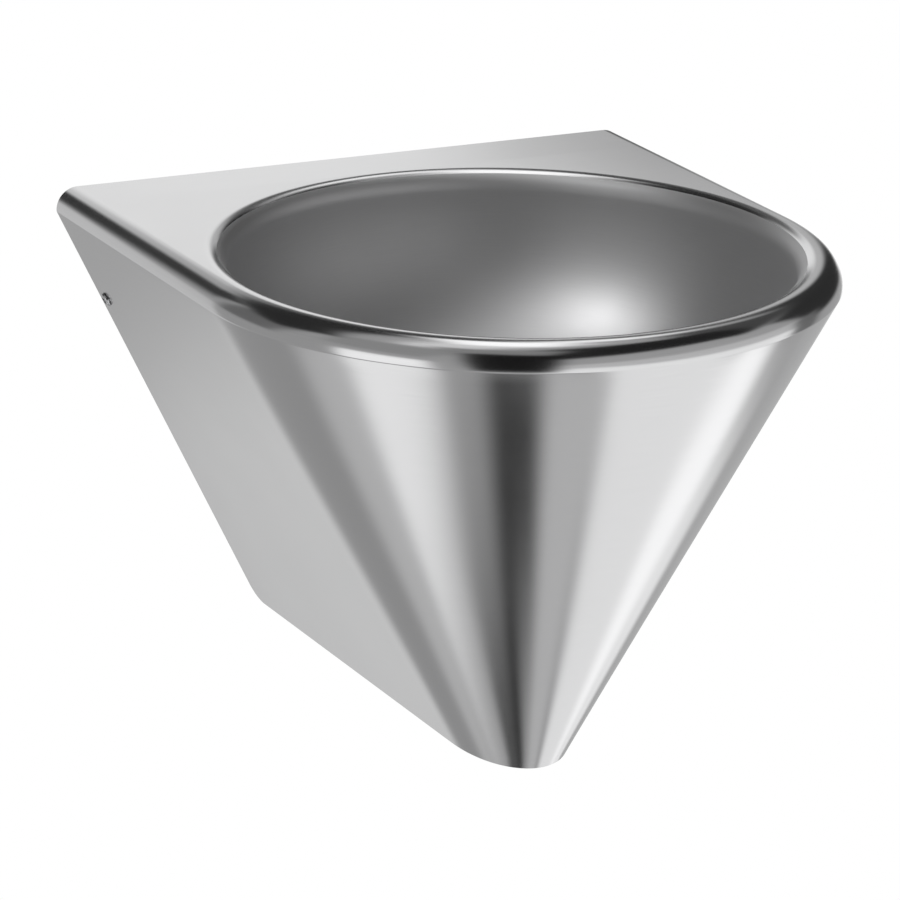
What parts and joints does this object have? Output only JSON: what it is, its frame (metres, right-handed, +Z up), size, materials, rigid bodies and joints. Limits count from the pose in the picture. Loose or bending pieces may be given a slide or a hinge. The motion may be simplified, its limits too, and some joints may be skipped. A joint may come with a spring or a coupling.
{
  "type": "wall-mounted sink",
  "caption": "Wall-hung stainless hand-wash basin with a round bowl, rolled rim and tapered shroud over its waste and bottle trap, carried on a wall bracket.",
  "frame": {"origin": "centre of the wall bracket's four screw holes, on the wall plane", "axes": "+Z up, +Y into the wall, +X to the right of a person facing the basin"},
  "size_m": [0.3726, 0.4165, 0.29],
  "materials": {
    "brushed_sheet": "satin-brushed stainless sheet, welded and polished seams",
    "stainless_fittings": "plain mill-finish stainless steel",
    "chromed_fittings": "chrome-plated brass",
    "black_rubber": "matt black rubber"
  },
  "bodies": {
    "basin": {"deck": "brushed_sheet", "bowl": "brushed_sheet", "skirt": "brushed_sheet", "wall_bracket": "stainless_fittings", "side_screws": "stainless_fittings", "side_nuts": "stainless_fittings", "waste_grid": "stainless_fittings", "waste_screw": "stainless_fittings", "waste_upper_gasket": "black_rubber", "waste_lower_gasket": "black_rubber", "waste_body": "chromed_fittings", "trap_inlet_nut": "chromed_fittings", "trap_inlet_seal": "black_rubber", "trap_dip_tube": "chromed_fittings", "trap_body": "chromed_fittings", "trap_neck_seal": "black_rubber", "trap_neck_nut": "chromed_fittings", "trap_outlet_nut": "chromed_fittings", "trap_outlet_seal": "black_rubber", "trap_outlet_pipe": "chromed_fittings"},
    "cup_seal": {"trap_cup_seal": "black_rubber"},
    "cup": {"trap_cup": "chromed_fittings"},
    "rosette": {"wall_rosette": "chromed_fittings"}
  },
  "joints": [
    {"name": "cup_lower", "type": "slide", "parent": "basin", "child": "cup_seal", "axis": [0, 0, -1], "range_m": [0, 0.0101]},
    {"name": "cup_turn", "type": "hinge", "parent": "cup_seal", "child": "cup", "pos_m": [0, -0.2065, -0.2], "axis": [0, 0, -1], "range_deg": [0, 900]},
    {"name": "rosette_slide", "type": "slide", "parent": "basin", "child": "rosette", "axis": [0, -1, 0], "range_m": [0, 0.06]}
  ],
  "couplings": [
    {"joint": "cup_lower", "follows": "cup_turn", "m_per_rad": 0.00063662}
  ]
}
